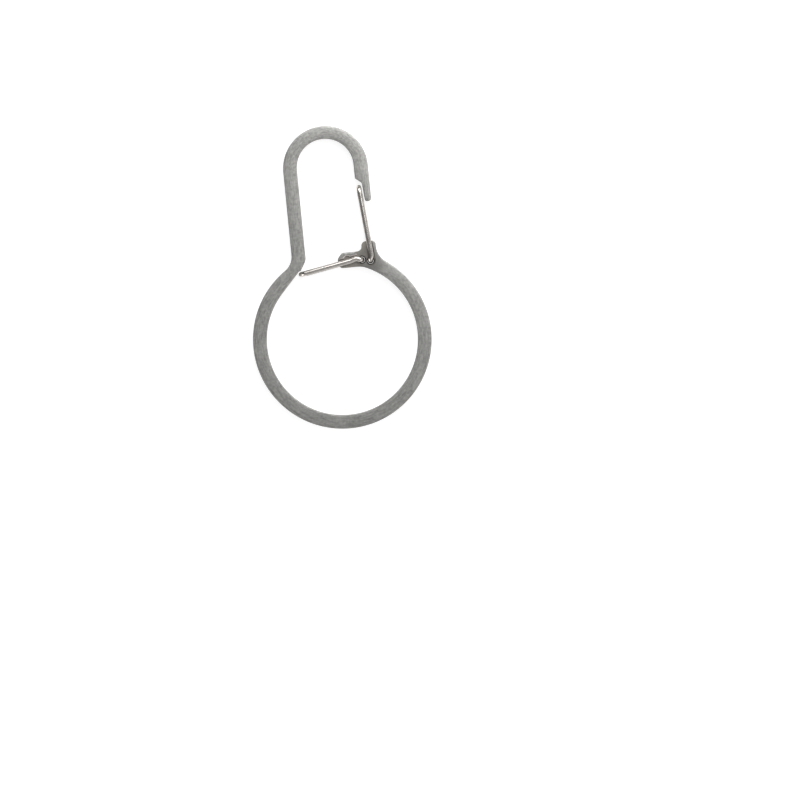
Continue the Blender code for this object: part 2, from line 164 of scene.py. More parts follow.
# How fine the meshes are
FACET_DEPTH = 0.002 * MM
EDGE_ROUND_SEGMENTS = 5
WEB_EDGE_SEGMENTS = 2
HOLE_SIDES = 72
WIRE_BEVEL_RESOLUTION = 10
WIRE_BEND_STEPS = 16
WIRE_KINK_STEPS = 40
WIRE_TIP_STEPS = 24
SMOOTH_ANGLE_DEG = 40.0
EDGE_ANGLE_DEG = 65.0
WEB_EDGE_ANGLE_DEG = 55.0
LEVEL_FACE = 0.999
FLAT_ANGLE_DEG = 0.05
MERGE_DISTANCE = 0.0005 * MM
FILLET_REACH_SHARE = 0.49
ARC_END_SHARE = 0.25
ROUND_PROFILE_SHARE = 0.5

# Finishes: a noise is its scale per metre, its detail and its roughness, a coat is its
# strength and its colour, and a bump is its strength and its height. Other pairs are where
# a soft step starts and ends, or the two values that it goes between.
WHITE = (1, 1, 1, 1)

# Steel of the plate: the streaks of its grain are noise in places stretched by two scales
GRAIN_ALONG = 520.0
GRAIN_ACROSS = 4200.0
GRAIN_NOISE = (1.0, 3.0, 0.55)
WAIST_GRAIN_STEP = (0.0, 3 * MM)
HOOK_GRAIN_HALF_STEP = 2 * MM
MOTTLE_NOISE = (1700.0, 3.0, 0.6)
FINE_NOISE = (4200.0, 2.0, 0.5)
CLOUD_NOISE = (160.0, 2.0, 0.5)
STREAK_SHARE = 0.58
MOTTLE_SHARE = 0.4
CLOUD_SHARE = 0.12
SHADE_STEP = (0.37, 0.73)
STEEL_DARK = (0.292, 0.29, 0.28, 1)
STEEL_LIGHT = (0.543, 0.539, 0.521, 1)
FACE_TILT = (0.9, 0.98)
WALL_TILT = (0.3, 0.05)
WALL_COAT = (0.6, (0.3, 0.295, 0.28, 1))
# Painted shade on the recess floors: a warm darker coat on the faces that lie below these heights
RECESS_HEIGHT = (1.05 * MM, 0.85 * MM)
RECESS_PAINTED_SHADE = (0.6, (0.33, 0.295, 0.25, 1))
RIM_COAT = (0.8, (0.31, 0.31, 0.3, 1))
# Darker in patches within these distances of the clip gate's hinge
HINGE_DARK_REACH = (4.6 * MM, 2.2 * MM)
HINGE_DARK_PATCH_STEP = (0.2, 0.55)
HINGE_DARK_PATCH_SHARES = (0.5, 1.0)
HINGE_DARK_COAT = (0.6, (0.2, 0.195, 0.185, 1))
# Painted shade in the hinge holes' mouths: near black on their sloped sides below the web's face
MOUTH_SHADE_FADE = 0.08 * MM
MOUTH_SHADE_COLOUR = (0.1, 0.095, 0.09, 1)
FACE_ROUGHNESS = (0.34, 0.46)
WALL_ROUGHNESS = 0.55
RIM_ROUGHNESS = 0.5
STEEL_BUMP = (0.5, 0.012 * MM)

# Lip of the divider gate's recess, the plate's second material: partly rubbed by the gate, with a
# painted highlight in its bright warm colour
LIP_MATERIAL = 1
LIP_NOISE = (1500.0, 3.0, 0.6)
LIP_PATCH_STEP = (0.35, 0.65)
LIP_HIGHLIGHT_DARK = (0.75, 0.69, 0.67, 1)
LIP_HIGHLIGHT_LIGHT = (0.95, 0.88, 0.86, 1)
LIP_ROUGHNESS = (0.42, 0.3)
LIP_BUMP = (0.3, 0.008 * MM)

# Wire of the gates
DRAW_LINES = (500.0, 9000.0, 9000.0)
WIRE_NOISE = (700.0, 3.0, 0.55)
WIRE_PATCH_STEP = (0.35, 0.7)
WIRE_DARK = (0.64, 0.605, 0.57, 1)
WIRE_LIGHT = (0.75, 0.715, 0.68, 1)
# Painted highlight at the tip: the painted shade on the legs and flanks fades out over these shares
# of the bend's height from the tip
TIP_HIGHLIGHT_SHARES = (0.7, 1.1)
LEG_PAINTED_SHADE = (0.1, (0, 0, 0, 1))
# Painted shade on the wire's steep flanks
FLANK_TILT = (0.75, 0.25)
FLANK_PAINTED_SHADE = (0.7, (0.21, 0.19, 0.17, 1))
FLANK_ROUGHNESS = 0.3
UNEVEN_STEP = (0.35, 0.65)
WIRE_ROUGHNESS = (0.1, 0.2)
WIRE_BUMP = (0.3, 0.004 * MM)

# Table
FLOOR_SIZE = 4.0
FLOOR_DROP = 0.02 * MM
FLOOR_COLOUR = (0.5, 0.5, 0.5, 1)
FLOOR_ROUGHNESS = 0.9
FLOOR_GLOW = 0.75

# Room and lamps: a direction in the photo's plane runs anticlockwise from its right edge,
# and the distances and sizes are in metres
WORLD_LEVEL = 0.35
WORLD_TILT = 0.28
WORLD_BRIGHT_DEG = -36.0
SoftBox = namedtuple("SoftBox", "name photo_deg height_deg distance size watts")
SOFT_BOXES = [
    SoftBox("soft_box_near", 68, 47, 0.25, (0.22, 0.22), 0.46),
    SoftBox("soft_box_far", 112, 36, 1.0, (0.7, 0.5), 1.7),
    SoftBox("soft_box_low", -30, 37, 1.0, (0.7, 0.5), 1.2),
    SoftBox("soft_box_left", 220, 20, 1.0, (0.8, 0.6), 2.8),
]

# Sizes worked out from the ones above and from the frame
HOOK_HEIGHT = RING_OUTER_RADIUS + HOOK_RISE
RING_CENTRE = Vector((0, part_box("frame")[0].y + RING_OUTER_RADIUS))
RING_INNER_RADIUS = RING_OUTER_RADIUS - RING_BAR_WIDTH
HOOK_CENTRE = RING_CENTRE + Vector((0, HOOK_HEIGHT))
SPINE_INNER_X = SPINE_WIDTH - HOOK_OUTER_RADIUS
NOSE_INNER_X = HOOK_OUTER_RADIUS - NOSE_BAR_WIDTH
HOOK_INNER_RADIUS = (NOSE_INNER_X - SPINE_INNER_X) / 2
HOOK_INNER_CENTRE = Vector((
    SPINE_INNER_X + HOOK_INNER_RADIUS,
    HOOK_CENTRE.y + HOOK_OUTER_RADIUS - HOOK_TOP_WIDTH - HOOK_INNER_RADIUS,
))
PLATE_TOP = PLATE_THICKNESS / 2
WEB_HALF = PLATE_TOP - POCKET_DEPTH
LEG_HEIGHT = WEB_HALF + FLOOR_GAP + WIRE_RADIUS
TIP_SEAT_RADIUS = WIRE_RADIUS + SEAT_GAP
RECESS_LIP_START = 2 * RECESS_LIP_WIDTH
PIVOTS = {joint["child"]: Vector(joint["pos_m"][:2]) for joint in frame["joints"]}

# A gate's heading is in degrees, and its pocket rounds are pairs of a place and a radius
Gate = namedtuple("Gate", "name pivot heading length hump pocket_rounds worn_recess")


def direction(degrees):
    """Unit vector in the plane at this angle from +X."""
    return Vector((math.cos(math.radians(degrees)), math.sin(math.radians(degrees))))


def clockwise_normal(vector):
    """The vector turned a quarter turn clockwise."""
    return Vector((vector.y, -vector.x))


def crossing(point_a, heading_a, point_b, heading_b):
    """Where two straight lines in the plane cross."""
    along = (point_b - point_a).cross(heading_b) / heading_a.cross(heading_b)
    return point_a + heading_a * along


def circle_entry(point, heading, centre, radius):
    """Where a straight line first meets a circle."""
    to_centre = centre - point
    half_chord = math.sqrt(radius ** 2 - to_centre.cross(heading) ** 2)
    return point + heading * (to_centre.dot(heading) - half_chord)


def angle_of(point, centre):
    """Angle of a point round a centre, in degrees."""
    return math.degrees(math.atan2(point.y - centre.y, point.x - centre.x))


def facet_step(radius):
    """Widest step in degrees whose chord stays within the facet depth of the round."""
    return 2 * math.degrees(math.acos(1 - FACET_DEPTH / radius))


def arc(centre, radius, start_deg, end_deg):
    """Points from one angle to another, on whole steps so that the quadrants are met."""
    step_deg = 90 / math.ceil(90 / facet_step(radius))
    sense = 1 if end_deg > start_deg else -1
    low, high = sorted((start_deg, end_deg))
    first = math.ceil(low / step_deg + ARC_END_SHARE)
    last = math.floor(high / step_deg - ARC_END_SHARE)
    angles = [index * step_deg for index in range(first, last + 1)][::sense]
    return [centre + direction(angle) * radius for angle in (start_deg, *angles, end_deg)]


def fillet(before, corner, after, radius):
    """Points of a round that replaces a corner, limited by the sides it lies on."""
    into = (corner - before).normalized()
    out = (after - corner).normalized()
    turn = math.atan2(into.cross(out), into.dot(out))
    side = min((corner - before).length, (after - corner).length) * FILLET_REACH_SHARE
    reach = min(radius * math.tan(abs(turn) / 2), side)
    round_radius = reach / math.tan(abs(turn) / 2)
    start = corner - into * reach
    left = Vector((-into.y, into.x)) * math.copysign(1, turn)
    centre = start + left * round_radius
    steps = math.ceil(abs(math.degrees(turn)) / facet_step(round_radius))
    part_turns = [Matrix.Rotation(turn * index / steps, 2) for index in range(steps + 1)]
    return [centre + part_turn @ (start - centre) for part_turn in part_turns]


def rounded_run(start, corners, end):
    """Rounds at each (corner, radius) on the way from start to end, without the ends."""
    stops = [start] + [corner for corner, _ in corners] + [end]
    points = []
    for index, (corner, radius) in enumerate(corners):
        points += fillet(stops[index], corner, stops[index + 2], radius)
    return points


def outside_blend(edge_x, radius, side):
    """Centre of a round that joins a vertical edge to the outside of the ring."""
    across = edge_x + side * radius
    up = math.sqrt((RING_OUTER_RADIUS + radius) ** 2 - across ** 2)
    return RING_CENTRE + Vector((across, up))


def waist_outer():
    """From the spine's outer edge round the waist and the ring to the upright arm."""
    waist = outside_blend(-HOOK_OUTER_RADIUS, WAIST_OUTER_ROUND, -1)
    junction = outside_blend(HOOK_OUTER_RADIUS, JUNCTION_OUTER_ROUND, 1)
    waist_deg = angle_of(waist, RING_CENTRE)
    junction_deg = angle_of(junction, RING_CENTRE)
    return (
        arc(waist, WAIST_OUTER_ROUND, 0, waist_deg - 180)
        + arc(RING_CENTRE, RING_OUTER_RADIUS, waist_deg, junction_deg + 360)[1:]
        + arc(junction, JUNCTION_OUTER_ROUND, junction_deg + 180, 180)[1:]
    )


def pocket_wall(hump):
    """How far the recess's wall stands from the hinge, on the side the gate closes to."""
    return GATE_KINK + hump + WIRE_RADIUS + SWING_GAP


def gate_start(pivot, heading):
    """The point on a gate's straight legs abreast of its pivot."""
    return pivot + clockwise_normal(heading) * GATE_KINK


def clip_gate():
    """The gate that closes the hook."""
    pivot = PIVOTS["clip_gate"]
    heading_deg = 90 + CLIP_LEAN_DEG
    heading = direction(heading_deg)
    length = (HOOK_CENTRE.y - CLIP_TIP_DROP - gate_start(pivot, heading).y) / heading.y
    rounds = [(Vector((0, 0)), CLIP_POCKET_END_RADIUS)]
    return Gate("clip_gate", pivot, heading_deg, length, 0, rounds, False)


def divider_gate():
    """The gate that closes the ring."""
    pivot = PIVOTS["divider_gate"]
    heading_deg = 180 + DIVIDER_LEAN_DEG
    heading = direction(heading_deg)
    length = (SPINE_INNER_X - DIVIDER_TIP_INSET - gate_start(pivot, heading).x) / heading.x
    scallop_side = pocket_wall(DIVIDER_HUMP) + DIVIDER_SCALLOP_BULGE - DIVIDER_SCALLOP_RADIUS
    rounds = [
        (Vector((0, 0)), DIVIDER_POCKET_END_RADIUS),
        (Vector((DIVIDER_SCALLOP_ALONG, -scallop_side)), DIVIDER_SCALLOP_RADIUS),
    ]
    return Gate("divider_gate", pivot, heading_deg, length, DIVIDER_HUMP, rounds, True)


def gate_tip(gate):
    """The outermost point of the wire's centre line."""
    heading = direction(gate.heading)
    return gate_start(gate.pivot, heading) + heading * gate.length


def arms():
    """The two pivot arms, and the blend into the inside of the ring."""
    clip = clip_gate().pivot
    divider = divider_gate().pivot
    clip_top = clip.y + CLIP_ARM_REACH
    clip_left = HOOK_OUTER_RADIUS - CLIP_ARM_WIDTH
    low = divider.y - DIVIDER_ARM_LIP - SWING_GAP - WIRE_RADIUS
    high = low + DIVIDER_ARM_WIDTH
    end = divider.x - DIVIDER_ARM_REACH
    drop = low - JUNCTION_INNER_ROUND - RING_CENTRE.y
    across = math.sqrt((RING_INNER_RADIUS - JUNCTION_INNER_ROUND) ** 2 - drop ** 2)
    blend = RING_CENTRE + Vector((across, drop))
    corners = [
        (Vector((HOOK_OUTER_RADIUS, clip_top)), ARM_CORNER_ROUND),
        (Vector((clip_left, clip_top)), CLIP_ARM_INNER_ROUND),
        (Vector((clip_left, high)), ARM_CROTCH_ROUND),
        (Vector((end + DIVIDER_ARM_CHAMFER_LENGTH, high)), ARM_CORNER_ROUND),
        (Vector((end, high - DIVIDER_ARM_CHAMFER_DROP)), ARM_CORNER_ROUND),
        (Vector((end, low)), DIVIDER_ARM_HEEL_ROUND),
    ]
    return (
        rounded_run(Vector((HOOK_OUTER_RADIUS, clip.y)), corners, Vector((blend.x, low)))
        + arc(blend, JUNCTION_INNER_ROUND, 90, angle_of(blend, RING_CENTRE))
    )


def ring_inner():
    """Clockwise round the inside of the ring, to the seat of the divider gate's tip."""
    low = arms()[-1]
    tip = gate_tip(divider_gate())
    reach = RING_INNER_RADIUS - (TIP_SEAT_RADIUS - WAIST_SEAT_BITE)
    turn_deg = math.degrees(math.acos(reach / (tip - RING_CENTRE).length))
    land_deg = angle_of(tip, RING_CENTRE) + turn_deg
    land = RING_CENTRE + direction(land_deg) * RING_INNER_RADIUS
    seat_start = circle_entry(land, clockwise_normal(direction(land_deg)), tip, TIP_SEAT_RADIUS)
    nib = tip + direction(WAIST_NIB_DEG) * TIP_SEAT_RADIUS
    bend = Vector((SPINE_INNER_X, tip.y + WAIST_BEND_RISE))
    return (
        arc(RING_CENTRE, RING_INNER_RADIUS, angle_of(low, RING_CENTRE), land_deg - 360)[1:]
        + arc(tip, TIP_SEAT_RADIUS, angle_of(seat_start, tip), WAIST_NIB_DEG)
        + fillet(nib, bend, Vector((SPINE_INNER_X, HOOK_CENTRE.y)), WAIST_INNER_ROUND)
    )


def nose():
    """Down the inner side of the nose, its notch and its tip."""
    gate = clip_gate()
    heading = direction(gate.heading)
    seat = gate_start(gate.pivot, heading) + clockwise_normal(heading) * TIP_SEAT_RADIUS
    level = Vector((1, 0))
    root_height = Vector((0, gate_tip(gate).y + WIRE_RADIUS + NOTCH_ROOM))
    tip_height = Vector((0, HOOK_CENTRE.y - NOSE_REACH))
    corners = [
        (Vector((NOSE_INNER_X, root_height.y + NOTCH_SHOULDER_RISE)), NOTCH_LIP_ROUND),
        (crossing(seat, heading, root_height, level), NOTCH_ROOT_ROUND),
        (crossing(seat, heading, tip_height, level), NOSE_INNER_ROUND),
        (Vector((HOOK_OUTER_RADIUS, tip_height.y)), NOSE_OUTER_ROUND),
    ]
    start = Vector((NOSE_INNER_X, HOOK_INNER_CENTRE.y))
    return rounded_run(start, corners, Vector((HOOK_OUTER_RADIUS, HOOK_CENTRE.y)))


def frame_outline():
    """The plate's whole edge, anticlockwise, from the outside of the hook."""
    return (
        arc(HOOK_CENTRE, HOOK_OUTER_RADIUS, 0, 180)
        + waist_outer()
        + arms()
        + ring_inner()
        + arc(HOOK_INNER_CENTRE, HOOK_INNER_RADIUS, 180, 0)
        + nose()
    )


def pocket_outline(gate):
    """The sweep of a gate's legs over its arm, in the gate's own axes at rest."""
    outer = pocket_wall(gate.hump)
    inner = WIRE_RADIUS + SWING_GAP
    opened = Matrix.Rotation(math.radians(GATE_OPEN_DEG), 2)
    half_opened = Matrix.Rotation(math.radians(GATE_OPEN_DEG / 2), 2)
    return [
        Vector((0, -outer)),
        Vector((POCKET_REACH, -outer)),
        half_opened @ Vector((POCKET_REACH, 0)),
        opened @ Vector((POCKET_REACH, inner)),
        opened @ Vector((0, inner)),
    ]


def wall_strip(gate):
    """The part of a recess along the wall that its gate closes to, in the gate's own axes."""
    outer = pocket_wall(gate.hump)
    return [
        Vector((RECESS_LIP_START, -outer)),
        Vector((POCKET_REACH, -outer)),
        Vector((POCKET_REACH, 0)),
        Vector((RECESS_LIP_START, 0)),
    ]


def add_object(name, data):
    """Put data into the scene as an object at the frame's origin."""
    added = bpy.data.objects.new(name, data)
    bpy.context.scene.collection.objects.link(added)
    return added


def evaluated_mesh(source):
    """A plain mesh of an object with all its modifiers applied."""
    bpy.context.view_layer.update()
    evaluated = source.evaluated_get(bpy.context.evaluated_depsgraph_get())
    return bpy.data.meshes.new_from_object(evaluated)


def flat_mesh(name, outline, low, high):
    """A closed prism of an outline between two heights, made from a filled 2D curve."""
    curve = bpy.data.curves.new(name, "CURVE")
    curve.dimensions = "2D"
    curve.fill_mode = "BOTH"
    curve.extrude = (high - low) / 2
    spline = curve.splines.new("POLY")
    spline.points.add(len(outline) - 1)
    for point, place in zip(spline.points, outline):
        point.co = (place.x, place.y, 0, 1)
    spline.use_cyclic_u = True
    drawn = add_object(name, curve)
    mesh = evaluated_mesh(drawn)
    bpy.data.objects.remove(drawn)
    mesh.name = name
    shaped = bmesh.new()
    shaped.from_mesh(mesh)
    bmesh.ops.remove_doubles(shaped, verts=shaped.verts, dist=MERGE_DISTANCE)
    bmesh.ops.dissolve_limit(
        shaped, angle_limit=math.radians(FLAT_ANGLE_DEG), verts=shaped.verts, edges=shaped.edges
    )
    bmesh.ops.recalc_face_normals(shaped, faces=shaped.faces)
    bmesh.ops.translate(shaped, verts=shaped.verts, vec=Vector((0, 0, (low + high) / 2)))
    shaped.to_mesh(mesh)
    shaped.free()
    return mesh


def gate_matrix(gate):
    """From a gate's own axes, hinge at zero and legs along +X, into the frame."""
    turn = Matrix.Rotation(math.radians(gate.heading), 4, "Z")
    return Matrix.Translation((gate.pivot.x, gate.pivot.y, 0)) @ turn


def widened(outline, reach):
    """An anticlockwise closed outline moved outwards, its corners kept sharp."""
    moved = []
    befores = outline[-1:] + outline[:-1]
    afters = outline[1:] + outline[:1]
    for before, corner, after in zip(befores, outline, afters):
        into = clockwise_normal((corner - before).normalized())
        out = clockwise_normal((after - corner).normalized())
        moved.append(corner + (into + out) * reach / (1 + into.dot(out)))
    return moved


def lip_mesh(name, outline, side):
    """A cutter that widens a recess towards the face, for its lip, which carries a painted
    highlight.

    It is narrower than the recess below the lip, and meets the wall at the lip's depth.
    """
    shaped = bmesh.new()
    rings = []
    for height in (PLATE_TOP - 2 * RECESS_LIP_DEPTH, PLATE_TOP + CUT_OVERRUN):
        reach = RECESS_LIP_WIDTH * (height - PLATE_TOP + RECESS_LIP_DEPTH) / RECESS_LIP_DEPTH
        places = widened(outline, reach)
        rings.append([shaped.verts.new((place.x, place.y, side * height)) for place in places])
    for ring in rings:
        shaped.faces.new(ring)
    for index, corner in enumerate(rings[0]):
        shaped.faces.new((rings[0][index - 1], corner, rings[1][index], rings[1][index - 1]))
    for face in shaped.faces:
        face.material_index = LIP_MATERIAL
    bmesh.ops.recalc_face_normals(shaped, faces=shaped.faces)
    mesh = bpy.data.meshes.new(name)
    shaped.to_mesh(mesh)
    shaped.free()
    return mesh


def pocket_cutters(gate):
    """The swept recess, its round end and any scallop, above the arm and below it."""
    rounds = [arc(centre, radius, 0, 360)[:-1] for centre, radius in gate.pocket_rounds]
    hinge_round, *scallops = rounds
    far = PLATE_TOP + CUT_OVERRUN
    meshes = []
    for outline in [hinge_round, pocket_outline(gate)] + scallops:
        meshes.append(flat_mesh(gate.name + "_pocket", outline, WEB_HALF, far))
        meshes.append(flat_mesh(gate.name + "_pocket", outline, -far, -WEB_HALF))
    if gate.worn_recess:
        for outline in [wall_strip(gate)] + scallops:
            meshes += [lip_mesh(gate.name + "_lip", outline, side) for side in (-1, 1)]
    return meshes


def hole_cutter(gate):
    """The hinge hole with its widened mouths, a turned profile."""
    hole = WIRE_RADIUS + HINGE_GAP
    widest = hole + HOLE_MOUTH + HOLE_MOUTH_OVERRUN
    far = PLATE_TOP + CUT_OVERRUN
    upper = [
        (0, far),
        (widest, far),
        (widest, WEB_HALF + HOLE_MOUTH_OVERRUN),
        (hole, WEB_HALF - HOLE_MOUTH),
    ]
    profile = upper + [(radius, -height) for radius, height in reversed(upper)]
    corners = [(radius, 0, height) for radius, height in profile]
    line = bpy.data.meshes.new(gate.name + "_profile")
    line.from_pydata(corners, [(index - 1, index) for index in range(1, len(corners))], [])
    drawn = add_object(line.name, line)
    turned = drawn.modifiers.new("turned", "SCREW")
    turned.steps = HOLE_SIDES
    turned.render_steps = HOLE_SIDES
    turned.use_merge_vertices = True
    turned.merge_threshold = MERGE_DISTANCE
    turned.use_smooth_shade = False
    mesh = evaluated_mesh(drawn)
    bpy.data.objects.remove(drawn)
    mesh.name = gate.name + "_hole"
    return mesh


def outline_tree():
    """A search tree of closely spaced points on the plate's outline."""
    outline = frame_outline()
    points = []
    for start, end in zip(outline, outline[1:] + outline[:1]):
        steps = max(1, math.ceil((end - start).length / OUTLINE_PITCH))
        points += [start.lerp(end, index / steps) for index in range(steps)]
    tree = KDTree(len(points))
    for index, point in enumerate(points):
        tree.insert((*point, 0), index)
    tree.balance()
    return tree


def level_geometry(shaped, height):
    """The level faces at a height and what bounds them, each once and in a steady order."""
    faces = [
        face for face in shaped.faces
        if abs(face.normal.z) > LEVEL_FACE
        and abs(abs(face.verts[0].co.z) - height) < MERGE_DISTANCE
    ]
    edges = dict.fromkeys(edge for face in faces for edge in face.edges)
    verts = dict.fromkeys(vert for face in faces for vert in face.verts)
    return [*verts, *edges, *faces]


def crown(mesh):
    """Let both faces fall gently towards the outline, as tumbling leaves them."""
    shaped = bmesh.new()
    shaped.from_mesh(mesh)
    low = [min(vert.co[axis] for vert in shaped.verts) for axis in (0, 1)]
    high = [max(vert.co[axis] for vert in shaped.verts) for axis in (0, 1)]
    for axis in (0, 1):
        across = Vector((0, 0, 0))
        across[axis] = 1
        for index in range(1, math.ceil((high[axis] - low[axis]) / CROWN_PITCH)):
            bmesh.ops.bisect_plane(
                shaped, geom=level_geometry(shaped, PLATE_TOP), dist=MERGE_DISTANCE,
                plane_co=across * (low[axis] + index * CROWN_PITCH), plane_no=across,
            )
    tree = outline_tree()
    for vert in shaped.verts:
        distance = tree.find((vert.co.x, vert.co.y, 0))[2]
        fall = CROWN_DROP * max(0, 1 - distance / CROWN_REACH) ** 2
        vert.co.z *= 1 - fall / PLATE_TOP
    shaped.to_mesh(mesh)
    shaped.free()


def soften_web(mesh):
    """Break the sharp outer edges of the thin webs that the recesses leave."""
    shaped = bmesh.new()
    shaped.from_mesh(mesh)
    bmesh.ops.remove_doubles(shaped, verts=shaped.verts, dist=MERGE_DISTANCE)
    sharp = [
        edge for edge in shaped.edges
        if edge.is_manifold and edge.is_convex
        and all(abs(abs(vert.co.z) - WEB_HALF) < MERGE_DISTANCE for vert in edge.verts)
        and edge.calc_face_angle() > math.radians(WEB_EDGE_ANGLE_DEG)
    ]
    bmesh.ops.bevel(
        shaped, geom=sharp, offset=WEB_EDGE_ROUND, segments=WEB_EDGE_SEGMENTS,
        profile=ROUND_PROFILE_SHARE, affect="EDGES", clamp_overlap=True,
    )
    shaped.to_mesh(mesh)
    shaped.free()


def make_plate(finishes):
    """The plate with tumbled edges, crowned faces, its recesses and its hinge holes."""
    blank = add_object("plate_blank", flat_mesh("plate", frame_outline(), -PLATE_TOP, PLATE_TOP))
    tumbled = blank.modifiers.new("tumbled edges", "BEVEL")
    tumbled.width = PLATE_EDGE_ROUND
    tumbled.segments = EDGE_ROUND_SEGMENTS
    tumbled.limit_method = "ANGLE"
    tumbled.angle_limit = math.radians(EDGE_ANGLE_DEG)
    rounded = evaluated_mesh(blank)
    blank.modifiers.clear()
    crown(rounded)
    blank.data = rounded
    cutters = []
    for gate in (clip_gate(), divider_gate()):
        for mesh in pocket_cutters(gate) + [hole_cutter(gate)]:
            cutter = add_object(mesh.name, mesh)
            cutter.matrix_world = gate_matrix(gate)
            cutters.append(cutter)
    for used in cutters + [blank]:
        for finish in finishes:
            used.data.materials.append(finish)
    for cutter in cutters:
        cut = blank.modifiers.new(cutter.name, "BOOLEAN")
        cut.operation = "DIFFERENCE"
        cut.solver = "EXACT"
        cut.object = cutter
    mesh = evaluated_mesh(blank)
    for used in cutters + [blank]:
        bpy.data.objects.remove(used)
    soften_web(mesh)
    mesh.name = "plate"
    mesh.shade_smooth()
    mesh.set_sharp_from_angle(angle=math.radians(SMOOTH_ANGLE_DEG))
    plate = add_object("steel_plate", mesh)
    flats = plate.modifiers.new("flat faces", "WEIGHTED_NORMAL")
    flats.keep_sharp = True
    return plate


def smooth_step(share):
    """Rises from 0 to 1 with level ends."""
    held = min(max(share, 0), 1)
    return held * held * (3 - 2 * held)


def leg_side(gate, along):
    """How far a leg lies to the clockwise side of its hinge axis."""
    hump = smooth_step(1 - abs(along - DIVIDER_HUMP_CENTRE) / DIVIDER_HUMP_HALF_LENGTH)
    return GATE_KINK * smooth_step(along / GATE_KINK_LENGTH) + gate.hump * hump


def wire_path(gate):
    """The wire's centre line in the gate's own axes: hinge at zero, legs along +X."""
    low_bend = LEG_HEIGHT - WIRE_BEND_RADIUS
    half = [(0, PIN_END_GAP / 2)]
    for index in range(WIRE_BEND_STEPS + 1):
        angle = math.pi / 2 * index / WIRE_BEND_STEPS
        half.append((
            WIRE_BEND_RADIUS * (1 - math.cos(angle)),
            low_bend + WIRE_BEND_RADIUS * math.sin(angle),
        ))
    kink_end = DIVIDER_HUMP_CENTRE + DIVIDER_HUMP_HALF_LENGTH
    for index in range(1, WIRE_KINK_STEPS + 1):
        along = WIRE_BEND_RADIUS + (kink_end - WIRE_BEND_RADIUS) * index / WIRE_KINK_STEPS
        half.append((along, LEG_HEIGHT))
    for index in range(WIRE_TIP_STEPS):
        angle = math.pi / 2 * index / WIRE_TIP_STEPS
        half.append((
            gate.length - LEG_HEIGHT * (1 - math.sin(angle)),
            LEG_HEIGHT * math.cos(angle),
        ))
    front = [Vector((along, -leg_side(gate, along), height)) for along, height in half]
    back = [Vector((place.x, place.y, -place.z)) for place in reversed(front)]
    return front + [Vector((gate.length, -GATE_KINK, 0))] + back


def make_gate(gate, finish):
    """A hairpin of round wire as one smooth closed mesh."""
    path = wire_path(gate)
    curve = bpy.data.curves.new(gate.name, "CURVE")
    curve.dimensions = "3D"
    curve.bevel_depth = WIRE_RADIUS
    curve.bevel_resolution = WIRE_BEVEL_RESOLUTION
    curve.use_fill_caps = True
    spline = curve.splines.new("POLY")
    spline.points.add(len(path) - 1)
    for point, place in zip(spline.points, path):
        point.co = (*place, 1)
    drawn = add_object(gate.name + "_line", curve)
    mesh = evaluated_mesh(drawn)
    bpy.data.objects.remove(drawn)
    mesh.transform(gate_matrix(gate))
    shaped = bmesh.new()
    shaped.from_mesh(mesh)
    bmesh.ops.remove_doubles(shaped, verts=shaped.verts, dist=MERGE_DISTANCE)
    bmesh.ops.recalc_face_normals(shaped, faces=shaped.faces)
    shaped.to_mesh(mesh)
    shaped.free()
    mesh.shade_smooth()
    mesh.set_sharp_from_angle(angle=math.radians(SMOOTH_ANGLE_DEG))
    mesh.materials.append(finish)
    return add_object(gate.name.replace("gate", "wire"), mesh)


class Nodes:
    """Adds shader nodes; an input is a plain value or another node's output."""

    def __init__(self, tree):
        self.tree = tree

    def add(self, kind, inputs, **settings):
        made = self.tree.nodes.new("ShaderNode" + kind)
        for name, value in settings.items():
            setattr(made, name, value)
        for socket, value in inputs.items():
            if isinstance(value, bpy.types.NodeSocket):
                self.tree.links.new(value, made.inputs[socket])
            else:
                made.inputs[socket].default_value = value
        return made

    def math(self, operation, first, second=0.0):
        return self.add("Math", {0: first, 1: second}, operation=operation).outputs[0]

    def vector(self, operation, first, second=(0, 0, 0)):
        return self.add("VectorMath", {0: first, 1: second}, operation=operation).outputs[0]

    def measure(self, operation, first, second=(0, 0, 0)):
        """A number worked out from vectors."""
        inputs = {0: first, 1: second}
        return self.add("VectorMath", inputs, operation=operation).outputs["Value"]

    def multiply_add(self, value, factor, added):
        return self.add("Math", {0: value, 1: factor, 2: added}, operation="MULTIPLY_ADD").outputs[0]

    def average(self, first, second):
        return self.math("MULTIPLY", self.math("ADD", first, second), 0.5)

    def turned(self, vector, degrees):
        """The vector turned about +Z."""
        inputs = {"Vector": vector, "Angle": math.radians(degrees)}
        return self.add("VectorRotate", inputs, rotation_type="Z_AXIS").outputs[0]

    def noise(self, place, scale, detail, roughness):
        inputs = {"Vector": place, "Scale": scale, "Detail": detail, "Roughness": roughness}
        return self.add("TexNoise", inputs).outputs["Fac"]

    def ramp(self, value, low, high, to_low=0.0, to_high=1.0):
        """A soft step from one number to another."""
        inputs = {0: value, 1: low, 2: high, 3: to_low, 4: to_high}
        return self.add("MapRange", inputs, interpolation_type="SMOOTHSTEP").outputs[0]

    def blend(self, factor, first, second):
        """Mix of two numbers."""
        return self.add("Mix", {0: factor, 2: first, 3: second}, data_type="FLOAT").outputs[0]

    def tint(self, factor, first, second):
        """Mix of two colours."""
        return self.add("Mix", {0: factor, 6: first, 7: second}, data_type="RGBA").outputs[2]

    def coat(self, colour, mask, strength, coat_colour):
        """The colour with a coat laid over it where the mask is."""
        return self.tint(self.math("MULTIPLY", mask, strength), colour, coat_colour)

    def split(self, vector):
        return self.add("SeparateXYZ", {0: vector}).outputs

    def join(self, x, y, z):
        return self.add("CombineXYZ", {0: x, 1: y, 2: z}).outputs[0]


